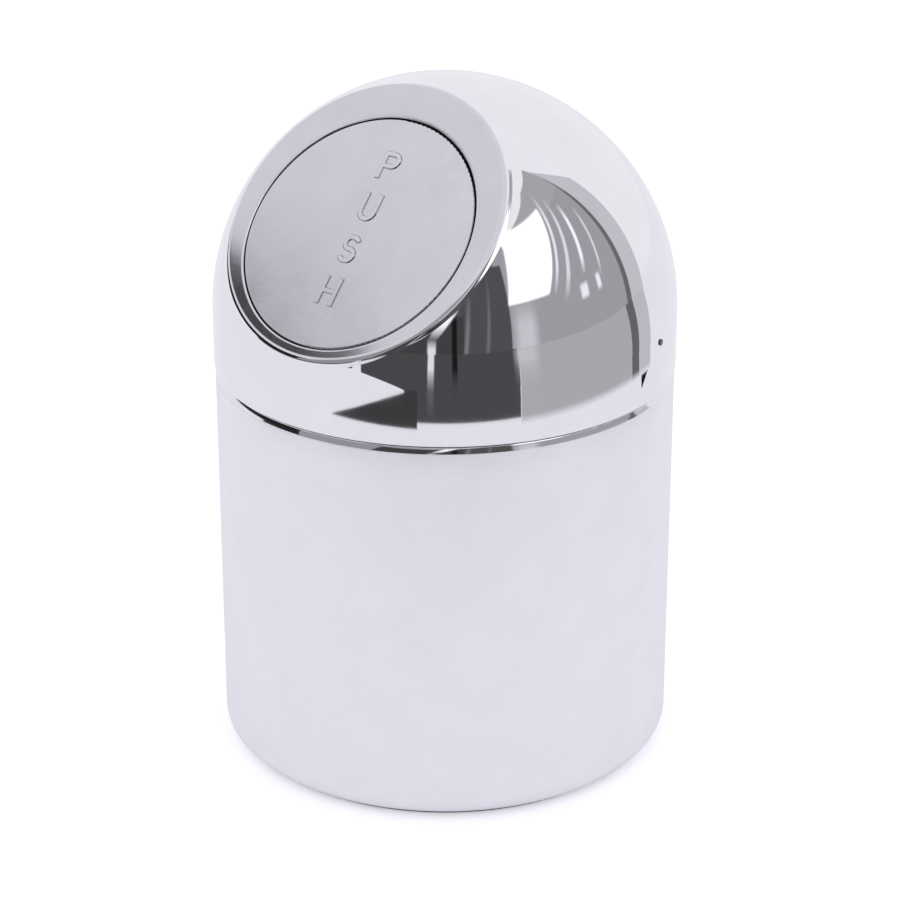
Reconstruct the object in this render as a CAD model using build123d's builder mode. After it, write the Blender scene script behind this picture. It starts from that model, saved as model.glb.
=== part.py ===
from build123d import *
import os
from math import cos, radians, sin, sqrt

# A round push-flap waste bin of about 3 litres.
# The origin is the centre of the base on the floor, +Z is up, and the flap faces -Y.

# Driving dimensions, millimetres and degrees
BODY_RADIUS = 85.0
BODY_HEIGHT = 144.7
BODY_EDGE_RADIUS = 7.5
SHEET = 0.8
CUT_MARGIN = 5.0
BASE_THICKNESS = 1.2
BASE_RADIUS = 78.5
BAND_HEIGHT = 2.5
BAND_SLOPE = 0.7
BAND_BULGE = 0.06
LID_RADIUS = 85.4
LID_GAP = 0.4
DOME_CENTRE_HEIGHT = 169.9
FACE_TILT = 43.8
FACE_DISTANCE = 65.8
SHOULDER_REACH = 56.6
SHOULDER_RADIUS = 3.0
NECK_RADIUS = 4.0
HOLE_DROP = 4.9
HOLE_RADIUS = 45.7
HOLE_FLANGE_DEPTH = 3.2
FLAP_RADIUS = 45.2
FLAP_DROP = 0.1
HINGE_RISE = 48.5
HINGE_DEPTH = 7.8
RIVET_AZIMUTH = 101.0
RIVET_FALL = 0.6
SMALL_GAP = 0.3
PRESS_GAP = 0.1
RIVET_GAP = 0.05

# Levels up the axis
BODY_TOP = BASE_THICKNESS + BODY_HEIGHT
BAND_TOP = BODY_TOP + BAND_HEIGHT
LID_BOTTOM = BAND_TOP + LID_GAP

# The slanted face: its normal, its up-slope direction and its planes
DOME_CENTRE = Vector(0, 0, DOME_CENTRE_HEIGHT)
FACE_NORMAL = Vector(0, -cos(radians(FACE_TILT)), sin(radians(FACE_TILT)))
UP_SLOPE = Vector(0, sin(radians(FACE_TILT)), cos(radians(FACE_TILT)))
FACE_CENTRE = DOME_CENTRE + FACE_NORMAL * FACE_DISTANCE
FACE_AXIS = Axis(DOME_CENTRE, FACE_NORMAL)
# The flap's hole is set below the middle of the face, which leaves room for the hinge behind it
HOLE_CENTRE = FACE_CENTRE - UP_SLOPE * HOLE_DROP
HOLE_PLANE = Plane(HOLE_CENTRE, x_dir=(1, 0, 0), z_dir=FACE_NORMAL)
# Sections through the face: one holds the sideways direction and the normal, one the slope and the normal
FACE_SECTION = Plane(DOME_CENTRE, x_dir=(1, 0, 0), z_dir=Vector(1, 0, 0).cross(FACE_NORMAL))
SIDE_PLANE = Plane(HOLE_CENTRE, x_dir=UP_SLOPE, z_dir=(1, 0, 0))
HINGE = HOLE_CENTRE + UP_SLOPE * HINGE_RISE - FACE_NORMAL * HINGE_DEPTH
PIN_PLANE = Plane((0, HINGE.Y, HINGE.Z), x_dir=(0, 1, 0), z_dir=(1, 0, 0))

os.makedirs("parts", exist_ok=True)


def save(builder, name):
    """Label one finished piece and write it to its own file."""
    builder.part.label = name
    export_step(builder.part, f"parts/{name}.step")


def along(direction, distance):
    """Plane square to a direction out of the dome's centre, at a distance from it."""
    return Plane(DOME_CENTRE + direction * distance, z_dir=direction)


def disc(plane, radius, thickness, mode=Mode.ADD, centre=(0, 0)):
    """Add or cut a round disc that grows out of a plane."""
    with BuildSketch(plane) as outline:
        with Locations(centre):
            Circle(radius)
    extrude(outline.sketch, amount=thickness, mode=mode)


# ---------------------------------------------------------------------------
# Body shell: a deep-drawn steel can with a rounded bottom edge
# ---------------------------------------------------------------------------
with BuildPart() as body_shell:
    disc(Plane.XY.offset(BASE_THICKNESS), BODY_RADIUS, BODY_HEIGHT)
    fillet(body_shell.edges().group_by(Axis.Z)[0], BODY_EDGE_RADIUS)
    offset(amount=-SHEET, openings=body_shell.faces().sort_by(Axis.Z)[-1])
save(body_shell, "body_shell")

# ---------------------------------------------------------------------------
# Rim band: a polished ring with a sloped, slightly crowned edge, pressed into the body's mouth
# ---------------------------------------------------------------------------
BAND_PLUG_DEPTH = 5.0
BAND_PLUG_OUTER = BODY_RADIUS - SHEET - PRESS_GAP
BAND_INNER = 82.6
with BuildPart() as rim_band:
    with BuildSketch(Plane.XZ):
        with BuildLine():
            ThreePointArc(
                (BODY_RADIUS, BODY_TOP),
                (BODY_RADIUS - BAND_SLOPE / 2 + BAND_BULGE, (BODY_TOP + BAND_TOP) / 2),
                (BODY_RADIUS - BAND_SLOPE, BAND_TOP),
            )
            Polyline(
                (BODY_RADIUS - BAND_SLOPE, BAND_TOP),
                (BAND_INNER, BAND_TOP),
                (BAND_INNER, BODY_TOP - BAND_PLUG_DEPTH),
                (BAND_PLUG_OUTER, BODY_TOP - BAND_PLUG_DEPTH),
                (BAND_PLUG_OUTER, BODY_TOP),
                (BODY_RADIUS, BODY_TOP),
            )
        make_face()
    revolve(axis=Axis.Z)
save(rim_band, "rim_band")

# ---------------------------------------------------------------------------
# Base pad: a moulded non-slip disc under the body, with round tread grooves
# ---------------------------------------------------------------------------
GROOVE_RADII = (48.0, 58.0, 68.0)
GROOVE_WIDTH = 2.0
GROOVE_DEPTH = 0.5
PAD_EDGE = 0.3
with BuildPart() as base_pad:
    disc(Plane.XY, BASE_RADIUS, BASE_THICKNESS)
    chamfer(base_pad.edges().group_by(Axis.Z)[0], PAD_EDGE)
    with BuildSketch(Plane.XY):
        for radius in GROOVE_RADII:
            Circle(radius + GROOVE_WIDTH)
            Circle(radius, mode=Mode.SUBTRACT)
    extrude(amount=GROOVE_DEPTH, mode=Mode.SUBTRACT)
save(base_pad, "base_pad")

# ---------------------------------------------------------------------------
# Inner bucket: a tapered plastic liner with a turned-down rim
# ---------------------------------------------------------------------------
BUCKET_FLOOR = BASE_THICKNESS + SHEET + SMALL_GAP
BUCKET_TOP = 139.5
BUCKET_WALL = 1.5
BUCKET_BOTTOM_RADIUS = 75.0
BUCKET_TAPER = 1.6
BUCKET_EDGE_RADIUS = 6.0
BUCKET_RIM_RADIUS = 81.5
BUCKET_RIM_THICKNESS = 1.6
BUCKET_LIP_DEPTH = 6.0
BUCKET_THROAT_RADIUS = 77.2
BUCKET_LIP_ROUND = 0.6
BAIL_HEIGHT = 131.0
BAIL_WIRE = 1.3
BAIL_CLEARANCE = 0.08
BAIL_HOLE = BAIL_WIRE + BAIL_CLEARANCE
BAIL_ARM = 72.0
BAIL_BEND = 2.0
BAIL_PIN_END = 80.0
REST_SIZE = (14.0, 5.0, 3.0)
REST_REACH = 75.4
with BuildPart() as inner_bucket:
    with BuildSketch(Plane.XY.offset(BUCKET_FLOOR)):
        Circle(BUCKET_BOTTOM_RADIUS)
    extrude(amount=BUCKET_TOP - BUCKET_FLOOR, taper=-BUCKET_TAPER)
    fillet(inner_bucket.edges().group_by(Axis.Z)[0], BUCKET_EDGE_RADIUS)
    offset(amount=-BUCKET_WALL, openings=inner_bucket.faces().sort_by(Axis.Z)[-1])
    with BuildSketch(Plane.XY.offset(BUCKET_TOP - BUCKET_RIM_THICKNESS)):
        Circle(BUCKET_RIM_RADIUS)
        Circle(BUCKET_THROAT_RADIUS, mode=Mode.SUBTRACT)
    extrude(amount=BUCKET_RIM_THICKNESS)
    with BuildSketch(Plane.XY.offset(BUCKET_TOP - BUCKET_LIP_DEPTH)):
        Circle(BUCKET_RIM_RADIUS)
        Circle(BUCKET_RIM_RADIUS - BUCKET_WALL, mode=Mode.SUBTRACT)
    extrude(amount=BUCKET_LIP_DEPTH)
    fillet(inner_bucket.edges().group_by(Axis.Z)[-1], BUCKET_LIP_ROUND)
    # Ledges inside the wall, front and back, that the handle lies on
    with BuildSketch(Plane.XY.offset(BAIL_HEIGHT - BAIL_WIRE - SMALL_GAP)):
        for side in (1, -1):
            with Locations((0, side * REST_REACH)):
                Rectangle(REST_SIZE[0], REST_SIZE[1])
    extrude(amount=-REST_SIZE[2])
    # Holes that the handle's ends turn in
    with BuildSketch(Plane.YZ.offset(-BODY_RADIUS)):
        with Locations((0, BAIL_HEIGHT)):
            Circle(BAIL_HOLE)
    extrude(amount=2 * BODY_RADIUS, mode=Mode.SUBTRACT)
save(inner_bucket, "inner_bucket")

# ---------------------------------------------------------------------------
# Bail handle: one bent steel wire, lying flat to the back of the bucket
# ---------------------------------------------------------------------------
with BuildPart() as bail_handle:
    with BuildLine(Plane.XY.offset(BAIL_HEIGHT)) as bail_path:
        Line((-BAIL_PIN_END, 0), (-BAIL_ARM - BAIL_BEND, 0))
        CenterArc((-BAIL_ARM - BAIL_BEND, BAIL_BEND), BAIL_BEND, -90, 90)
        CenterArc((0, BAIL_BEND), BAIL_ARM, 180, -180)
        CenterArc((BAIL_ARM + BAIL_BEND, BAIL_BEND), BAIL_BEND, 180, 90)
        Line((BAIL_ARM + BAIL_BEND, 0), (BAIL_PIN_END, 0))
    with BuildSketch(Plane((-BAIL_PIN_END, 0, BAIL_HEIGHT), z_dir=(1, 0, 0))):
        Circle(BAIL_WIRE)
    sweep(path=bail_path.wires()[0])
save(bail_handle, "bail_handle")

# ---------------------------------------------------------------------------
# Seat ring: a plastic collar that hangs on the lid's hem and plugs into the mouth
# ---------------------------------------------------------------------------
HEM_INNER = 82.8
RING_INNER = 80.2
RING_SLEEVE = 82.1
RING_FLANGE = LID_RADIUS - SHEET - SMALL_GAP
RING_BOTTOM = 141.5
RING_FLANGE_LOW = LID_BOTTOM + SHEET + SMALL_GAP
RING_TOP = RING_FLANGE_LOW + 1.5
RING_LEAD = (0.6, 1.2)
with BuildPart() as seat_ring:
    with BuildSketch(Plane.XZ):
        with BuildLine():
            Polyline(
                (RING_INNER, RING_BOTTOM),
                (RING_SLEEVE - RING_LEAD[0], RING_BOTTOM),
                (RING_SLEEVE, RING_BOTTOM + RING_LEAD[1]),
                (RING_SLEEVE, RING_FLANGE_LOW),
                (RING_FLANGE, RING_FLANGE_LOW),
                (RING_FLANGE, RING_TOP),
                (RING_INNER, RING_TOP),
                close=True,
            )
        make_face()
    revolve(axis=Axis.Z)
save(seat_ring, "seat_ring")

# ---------------------------------------------------------------------------
# Lid dome: a drawn shell with a turned-in hem, and a raised collar round the face
# ---------------------------------------------------------------------------
# The collar's outline is two arcs: a rounded shoulder, then a hollow neck that runs out on the dome.
SHOULDER_CENTRE = Vector(SHOULDER_REACH - SHOULDER_RADIUS, FACE_DISTANCE - SHOULDER_RADIUS)
NECK_DISTANCE = LID_RADIUS + NECK_RADIUS
ARC_CENTRES_APART = SHOULDER_RADIUS + NECK_RADIUS
SHOULDER_DISTANCE = SHOULDER_CENTRE.length
NECK_ALONG = (NECK_DISTANCE**2 + SHOULDER_DISTANCE**2 - ARC_CENTRES_APART**2) / (2 * SHOULDER_DISTANCE)
NECK_ASIDE = sqrt(NECK_DISTANCE**2 - NECK_ALONG**2)
SHOULDER_WAY = SHOULDER_CENTRE.normalized()
NECK_CENTRE = SHOULDER_WAY * NECK_ALONG + Vector(SHOULDER_WAY.Y, -SHOULDER_WAY.X) * NECK_ASIDE
# The collar piece is joined to the dome along a cone, just past the neck
CONE_ANGLE = FACE_TILT - 0.35
CONE_WAY = Vector(sin(radians(CONE_ANGLE)), cos(radians(CONE_ANGLE)))
CONE_REACH = 120.0
HEM_RADIUS = 1.0
HOLE_EDGE_RADIUS = 0.5
RIVET_HOLE = 0.85


def arc_about(centre, radius, start_way, end_way):
    """Arc about a centre, between two directions less than half a turn apart."""
    middle_way = (start_way + end_way).normalized()
    return ThreePointArc(
        centre + start_way * radius,
        centre + middle_way * radius,
        centre + end_way * radius,
    )


def collar_line(inset):
    """The collar's outline from the dome to the flat face, moved in by an inset."""
    origin = Vector(0, 0)
    neck_way = NECK_CENTRE.normalized()
    join_way = (NECK_CENTRE - SHOULDER_CENTRE).normalized()
    arc_about(origin, LID_RADIUS - inset, CONE_WAY, neck_way)
    arc_about(NECK_CENTRE, NECK_RADIUS + inset, neck_way * -1, join_way * -1)
    arc_about(SHOULDER_CENTRE, SHOULDER_RADIUS - inset, join_way, Vector(0, 1))


def end_rivet_way(side):
    """Direction of a rivet at the hoop's end from the dome's centre, a little under its equator."""
    level = cos(radians(RIVET_FALL))
    across = side * sin(radians(RIVET_AZIMUTH)) * level
    back = -cos(radians(RIVET_AZIMUTH)) * level
    return Vector(across, back, -sin(radians(RIVET_FALL)))


def on_face(edge):
    """Whether a round edge is the hole's edge on the flat face."""
    near = abs(edge.radius - HOLE_RADIUS) < PRESS_GAP
    return near and (edge.arc_center - HOLE_CENTRE).length < PRESS_GAP


with BuildPart() as lid_dome:
    # Skirt and dome, turned about the bin's own axis
    with BuildSketch(Plane.XZ):
        with BuildLine():
            inner_radius = LID_RADIUS - SHEET
            centre = (0, DOME_CENTRE_HEIGHT)
            CenterArc((LID_RADIUS - HEM_RADIUS, LID_BOTTOM + HEM_RADIUS), HEM_RADIUS, -90, 90)
            Line((LID_RADIUS, LID_BOTTOM + HEM_RADIUS), (LID_RADIUS, DOME_CENTRE_HEIGHT))
            CenterArc(centre, LID_RADIUS, 0, 90)
            Line((0, DOME_CENTRE_HEIGHT + LID_RADIUS), (0, DOME_CENTRE_HEIGHT + inner_radius))
            CenterArc(centre, inner_radius, 90, -90)
            Polyline(
                (inner_radius, DOME_CENTRE_HEIGHT),
                (inner_radius, LID_BOTTOM + SHEET),
                (HEM_INNER, LID_BOTTOM + SHEET),
                (HEM_INNER, LID_BOTTOM),
                (LID_RADIUS - HEM_RADIUS, LID_BOTTOM),
            )
        make_face()
    revolve(axis=Axis.Z)
    # A cone of the dome is taken out round the face's axis
    with BuildSketch(FACE_SECTION):
        with BuildLine():
            Polyline((0, 0), CONE_WAY * CONE_REACH, (0, CONE_REACH), close=True)
        make_face()
    revolve(axis=FACE_AXIS, mode=Mode.SUBTRACT)
    # The collar and the flat face
    with BuildSketch(FACE_SECTION):
        with BuildLine():
            Line(CONE_WAY * LID_RADIUS, CONE_WAY * (LID_RADIUS - SHEET))
            collar_line(0)
            collar_line(SHEET)
            Polyline(
                (SHOULDER_CENTRE.X, FACE_DISTANCE),
                (0, FACE_DISTANCE),
                (0, FACE_DISTANCE - SHEET),
                (SHOULDER_CENTRE.X, FACE_DISTANCE - SHEET),
            )
        make_face()
    revolve(axis=FACE_AXIS)
    # The flange turned in round the flap's hole
    disc(HOLE_PLANE.offset(-SHEET), HOLE_RADIUS + SHEET, SHEET - HOLE_FLANGE_DEPTH)
    disc(HOLE_PLANE.offset(SMALL_GAP), HOLE_RADIUS, -HOLE_FLANGE_DEPTH - 2 * SMALL_GAP, mode=Mode.SUBTRACT)
    hole_edges = lid_dome.edges().filter_by(GeomType.CIRCLE).sort_by_distance(HOLE_CENTRE)
    fillet([edge for edge in hole_edges if on_face(edge)], HOLE_EDGE_RADIUS)
    # Rivet holes, one each side
    for side in (1, -1):
        rivet_place = along(end_rivet_way(side), LID_RADIUS - CUT_MARGIN)
        disc(rivet_place, RIVET_HOLE, 2 * CUT_MARGIN, mode=Mode.SUBTRACT)
save(lid_dome, "lid_dome")

# ---------------------------------------------------------------------------
# Hinge hoop: a strap that arches across the dome and is riveted at both ends
# ---------------------------------------------------------------------------
STRAP_THICKNESS = 1.2
STRAP_HALF_WIDTH = 5.0
HOOP_OUTER = LID_RADIUS - SHEET - SMALL_GAP
HOOP_INNER = HOOP_OUTER - STRAP_THICKNESS
HOOP_DISTANCE = -LID_RADIUS * cos(radians(RIVET_AZIMUTH))
HOOP_END_DROP = 8.0
BRACKET_RIVET_SIDE = 10.0
RIVET_SHANK = 0.8


def bracket_rivet_way(side):
    """Direction of a bracket rivet from the dome's centre."""
    across = side * BRACKET_RIVET_SIDE
    height = sqrt(HOOP_INNER**2 - across**2 - HOOP_DISTANCE**2)
    return Vector(across, HOOP_DISTANCE, height).normalized()


with BuildPart() as hinge_hoop:
    hoop_section = Plane(DOME_CENTRE, x_dir=(1, 0, 0), z_dir=(0, 0, -1))
    with BuildSketch(hoop_section):
        with BuildLine():
            low = -HOOP_DISTANCE - STRAP_HALF_WIDTH
            middle = -HOOP_DISTANCE
            high = -HOOP_DISTANCE + STRAP_HALF_WIDTH
            outer = [(sqrt(HOOP_OUTER**2 - h**2), h) for h in (low, middle, high)]
            inner = [(sqrt(HOOP_INNER**2 - h**2), h) for h in (high, middle, low)]
            ThreePointArc(*outer)
            Line(outer[-1], inner[0])
            ThreePointArc(*inner)
            Line(inner[-1], outer[0])
        make_face()
    revolve(axis=Axis(DOME_CENTRE, (0, 1, 0)))
    split(bisect_by=Plane.XY.offset(DOME_CENTRE_HEIGHT - HOOP_END_DROP), keep=Keep.TOP)
    for side in (1, -1):
        for way in (end_rivet_way(side), bracket_rivet_way(side)):
            disc(along(way, HOOP_INNER - CUT_MARGIN), RIVET_HOLE, 2 * CUT_MARGIN, mode=Mode.SUBTRACT)
save(hinge_hoop, "hinge_hoop")

# ---------------------------------------------------------------------------
# Hinge bracket: a pressed channel under the hoop, whose two arms hold the pin
# ---------------------------------------------------------------------------
ARM_OUTER = 20.5
ARM_THICKNESS = 1.2
ARM_EYE_RADIUS = 3.5
ARM_INNER = ARM_OUTER - ARM_THICKNESS
WEB_OUTER = HOOP_INNER - PRESS_GAP
WEB_INNER = WEB_OUTER - STRAP_THICKNESS
WEB_FRONT = HOOP_DISTANCE - STRAP_HALF_WIDTH - 2.0
WEB_BACK = HOOP_DISTANCE + STRAP_HALF_WIDTH + 1.0
WEB_BLANK = (DOME_CENTRE_HEIGHT + 60.0, 30.0)
PIN_RADIUS = 1.5
PIN_CLEARANCE = 0.02
STOP_FACE = HINGE.Y - 0.4
STOP_DEPTH = 0.8
STOP_BOTTOM = HINGE.Z - 15.0
FINGER_BACK = STOP_FACE + STOP_DEPTH + 4.0
FINGER_ROOT = (STOP_FACE + STOP_DEPTH + 6.0, HINGE.Z - 5.0)
ARM_BACK_LOW = HINGE.Z - 3.0
ARM_TOP = HINGE.Z + 12.0
EYE_JOIN_BACK = 1.0
EYE_JOIN_RISE = 3.4
EYE_JOIN_FALL = 3.0
with BuildPart() as hinge_bracket:
    for side in (1, -1):
        with BuildSketch(Plane.YZ.offset(side * ARM_INNER)):
            with Locations((HINGE.Y, HINGE.Z)):
                Circle(ARM_EYE_RADIUS)
            with BuildLine():
                Polyline(
                    (STOP_FACE + STOP_DEPTH, STOP_BOTTOM),
                    (FINGER_BACK, STOP_BOTTOM),
                    FINGER_ROOT,
                    (WEB_BACK, ARM_BACK_LOW),
                    (WEB_BACK, ARM_TOP),
                    (HINGE.Y, ARM_TOP),
                    (HINGE.Y - EYE_JOIN_BACK, HINGE.Z + EYE_JOIN_RISE),
                    (STOP_FACE + STOP_DEPTH, HINGE.Z - EYE_JOIN_FALL),
                    close=True,
                )
            make_face()
        extrude(amount=side * ARM_THICKNESS)
    with BuildSketch(Plane.XY.offset(WEB_BLANK[0])):
        with Locations((0, (WEB_FRONT + WEB_BACK) / 2)):
            Rectangle(2 * ARM_OUTER, WEB_BACK - WEB_FRONT)
    extrude(amount=WEB_BLANK[1])
    # The channel is hollow, and its top follows the dome
    hollow = Sphere(WEB_INNER, mode=Mode.PRIVATE).moved(Location(DOME_CENTRE))
    channel = Box(2 * ARM_INNER, 2 * WEB_OUTER, 2 * WEB_OUTER, mode=Mode.PRIVATE).moved(Location(DOME_CENTRE))
    add(hollow & channel, mode=Mode.SUBTRACT)
    add(Sphere(WEB_OUTER, mode=Mode.PRIVATE).moved(Location(DOME_CENTRE)), mode=Mode.INTERSECT)
    # Eyes for the pin, and rivet holes in the web
    pin_start = PIN_PLANE.offset(-ARM_OUTER - CUT_MARGIN)
    disc(pin_start, PIN_RADIUS + PIN_CLEARANCE, 2 * (ARM_OUTER + CUT_MARGIN), mode=Mode.SUBTRACT)
    for side in (1, -1):
        rivet_place = along(bracket_rivet_way(side), WEB_INNER - CUT_MARGIN)
        disc(rivet_place, RIVET_HOLE, 2 * CUT_MARGIN, mode=Mode.SUBTRACT)
save(hinge_bracket, "hinge_bracket")


# ---------------------------------------------------------------------------
# Rivets: two hold the hoop's ends to the dome, two hold the bracket to the hoop
# ---------------------------------------------------------------------------
RIVET_HEAD = 1.2
RIVET_HEAD_HEIGHT = 0.35
HEAD_SEAT = 0.12


def rivet(way, outer_face, inner_face):
    """One rivet through two sheets, with a low head at each end."""
    disc(along(way, inner_face), RIVET_SHANK, outer_face - inner_face)
    disc(along(way, outer_face), RIVET_HEAD, RIVET_HEAD_HEIGHT)
    disc(along(way, inner_face), RIVET_HEAD, -RIVET_HEAD_HEIGHT)


with BuildPart() as hoop_rivets:
    for side in (1, -1):
        rivet(end_rivet_way(side), LID_RADIUS + HEAD_SEAT, HOOP_INNER - RIVET_GAP)
save(hoop_rivets, "hoop_rivets")

with BuildPart() as bracket_rivets:
    for side in (1, -1):
        way = bracket_rivet_way(side)
        disc(along(way, WEB_INNER - RIVET_GAP), RIVET_SHANK, HOOP_OUTER - WEB_INNER + RIVET_GAP)
        disc(along(way, WEB_INNER - RIVET_GAP), RIVET_HEAD, -RIVET_HEAD_HEIGHT)
save(bracket_rivets, "bracket_rivets")

# ---------------------------------------------------------------------------
# Hinge pin: a steel pin with a groove near each end for its clip
# ---------------------------------------------------------------------------
PIN_HALF = 23.0
CLIP_INNER_FACE = ARM_OUTER + SMALL_GAP
CLIP_THICKNESS = 0.5
CLIP_RADIUS = 2.8
CLIP_SLOT = 1.6
PIN_NECK = 1.1
PIN_END = 0.3
GROOVE_PLAY = 0.05
with BuildPart() as hinge_pin:
    disc(PIN_PLANE.offset(-PIN_HALF), PIN_RADIUS, 2 * PIN_HALF)
    chamfer(hinge_pin.edges().group_by(Axis.X)[0], PIN_END)
    chamfer(hinge_pin.edges().group_by(Axis.X)[-1], PIN_END)
    for side in (1, -1):
        with BuildSketch(PIN_PLANE.offset(side * (CLIP_INNER_FACE - GROOVE_PLAY))):
            Circle(CLIP_RADIUS)
            Circle(PIN_NECK, mode=Mode.SUBTRACT)
        extrude(amount=side * (CLIP_THICKNESS + 2 * GROOVE_PLAY), mode=Mode.SUBTRACT)
save(hinge_pin, "hinge_pin")

with BuildPart() as pin_clips:
    for side in (1, -1):
        with BuildSketch(PIN_PLANE.offset(side * CLIP_INNER_FACE)):
            Circle(CLIP_RADIUS)
            Circle(PIN_NECK + PIN_CLEARANCE, mode=Mode.SUBTRACT)
            with Locations((CLIP_RADIUS, 0)):
                Rectangle(2 * CLIP_RADIUS, CLIP_SLOT, mode=Mode.SUBTRACT)
        extrude(amount=side * CLIP_THICKNESS)
save(pin_clips, "pin_clips")

# ---------------------------------------------------------------------------
# Stop pads: rubber blocks on the bracket's fingers, which the open flap meets
# ---------------------------------------------------------------------------
PAD_HEIGHT = 5.0
PAD_RISE = 0.5
PAD_OVERHANG = 0.4
PAD_ROUND = 0.3
with BuildPart() as stop_pads:
    for side in (1, -1):
        with BuildSketch(Plane.YZ.offset(side * (ARM_INNER - PAD_OVERHANG))):
            with Locations((STOP_FACE + STOP_DEPTH / 2, STOP_BOTTOM + PAD_HEIGHT / 2 + PAD_RISE)):
                RectangleRounded(STOP_DEPTH, PAD_HEIGHT, PAD_ROUND)
        extrude(amount=side * (ARM_THICKNESS + 2 * PAD_OVERHANG))
save(stop_pads, "stop_pads")

# ---------------------------------------------------------------------------
# Flap disc: a drawn steel cap with the word PUSH raised down its middle
# ---------------------------------------------------------------------------
FLAP_EDGE_DEPTH = 2.4
FLAP_EDGE_RADIUS = 0.5
LETTER_HEIGHT = 11.2
LETTER_WIDTH = 8.0
LETTER_STROKE = 2.1
LETTER_RELIEF = 0.4
LETTER_BEVEL = 0.32
LETTER_PITCH = 16.8
STACK_RISE = 1.5
STEM_END = LETTER_HEIGHT / 2
BOWL_SHARE = 0.52
BOWL_START = 0.8
BOW_LEAD = 20


def letter_p(half, top):
    """A stem with one bowl on its upper part, whose lines start inside the stem."""
    bowl = top * BOWL_SHARE
    start = -half * BOWL_START
    Line((-half, -STEM_END), (-half, STEM_END))
    Line((start, top), (half - bowl, top))
    CenterArc((half - bowl, top - bowl), bowl, 90, -180)
    Line((half - bowl, top - 2 * bowl), (start, top - 2 * bowl))


def letter_u(half, top):
    """Two stems joined by a half round."""
    Line((-half, STEM_END), (-half, half - top))
    CenterArc((0, half - top), half, 180, 180)
    Line((half, half - top), (half, STEM_END))


def letter_s(half, top):
    """Two bows, one over the other, each stretched by a short straight."""
    bow = top / 2
    stretch = half - bow
    CenterArc((stretch / 2, bow), bow, BOW_LEAD, 90 - BOW_LEAD)
    Line((stretch / 2, top), (-stretch / 2, top))
    CenterArc((-stretch / 2, bow), bow, 90, 180)
    Line((-stretch / 2, 0), (stretch / 2, 0))
    CenterArc((stretch / 2, -bow), bow, 90, -180)
    Line((stretch / 2, -top), (-stretch / 2, -top))
    CenterArc((-stretch / 2, -bow), bow, -90, BOW_LEAD - 90)


def letter_h(half, top):
    """Two stems and a bar."""
    Line((-half, -STEM_END), (-half, STEM_END))
    Line((half, -STEM_END), (half, STEM_END))
    Line((-half, 0), (half, 0))


with BuildPart() as flap_disc:
    disc(HOLE_PLANE, FLAP_RADIUS, -FLAP_EDGE_DEPTH, centre=(0, -FLAP_DROP))
    front = flap_disc.faces().sort_by(FACE_AXIS)[-1]
    back = flap_disc.faces().sort_by(FACE_AXIS)[0]
    fillet(front.edges(), FLAP_EDGE_RADIUS)
    offset(amount=-SHEET, openings=back)
    half_width = (LETTER_WIDTH - LETTER_STROKE) / 2
    half_height = (LETTER_HEIGHT - LETTER_STROKE) / 2
    for row, letter in enumerate((letter_p, letter_u, letter_s, letter_h)):
        height = STACK_RISE + LETTER_PITCH * (1.5 - row)
        letter_plane = Plane(
            HOLE_CENTRE + UP_SLOPE * height,
            x_dir=(1, 0, 0),
            z_dir=FACE_NORMAL,
        )
        with BuildSketch(letter_plane):
            with BuildLine():
                letter(half_width, half_height)
            trace(line_width=LETTER_STROKE)
        extrude(amount=LETTER_RELIEF)
        letter_top = flap_disc.faces(Select.LAST).sort_by(FACE_AXIS)[-1]
        chamfer(letter_top.edges(), LETTER_BEVEL)
save(flap_disc, "flap_disc")

# ---------------------------------------------------------------------------
# Flap backing: a moulded plate whose rim stops behind the hole's flange,
# with ribs behind and two knuckles that turn on the pin
# ---------------------------------------------------------------------------
BACKING_RIM = 48.3
BACKING_RIM_FACE = -4.6
BACKING_REAR = -6.4
BACKING_BOSS = FLAP_RADIUS - SHEET - SMALL_GAP
BACKING_FRONT = -SHEET - PRESS_GAP
BACKING_POCKET = BACKING_BOSS - 1.8
BACKING_SKIN = 1.6
RIB_THICKNESS = 1.6
RIB_SPACING = 24.0
RIB_BITE = 0.4
KNUCKLE_INNER = 6.0
KNUCKLE_LENGTH = 6.0
KNUCKLE_RADIUS = 3.0
KNUCKLE_REACH = 15.0
HINGE_CLEARANCE = 3.4
BUSH_OUTER = 2.3
BUSH_BORE = PIN_RADIUS + 0.06
CUP_DEPTH = 1.5
CUP_BORE = 3.05
CUP_RADIUS = 3.3
NOTCH_SPANS = ((-KNUCKLE_INNER, KNUCKLE_INNER), (12.0, 22.5), (-22.5, -12.0))


def hinge_notch():
    """Clear the rim round the pin and springs everywhere but at the knuckles."""
    for start, end in NOTCH_SPANS:
        disc(PIN_PLANE.offset(start), HINGE_CLEARANCE, end - start, mode=Mode.SUBTRACT)


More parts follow.
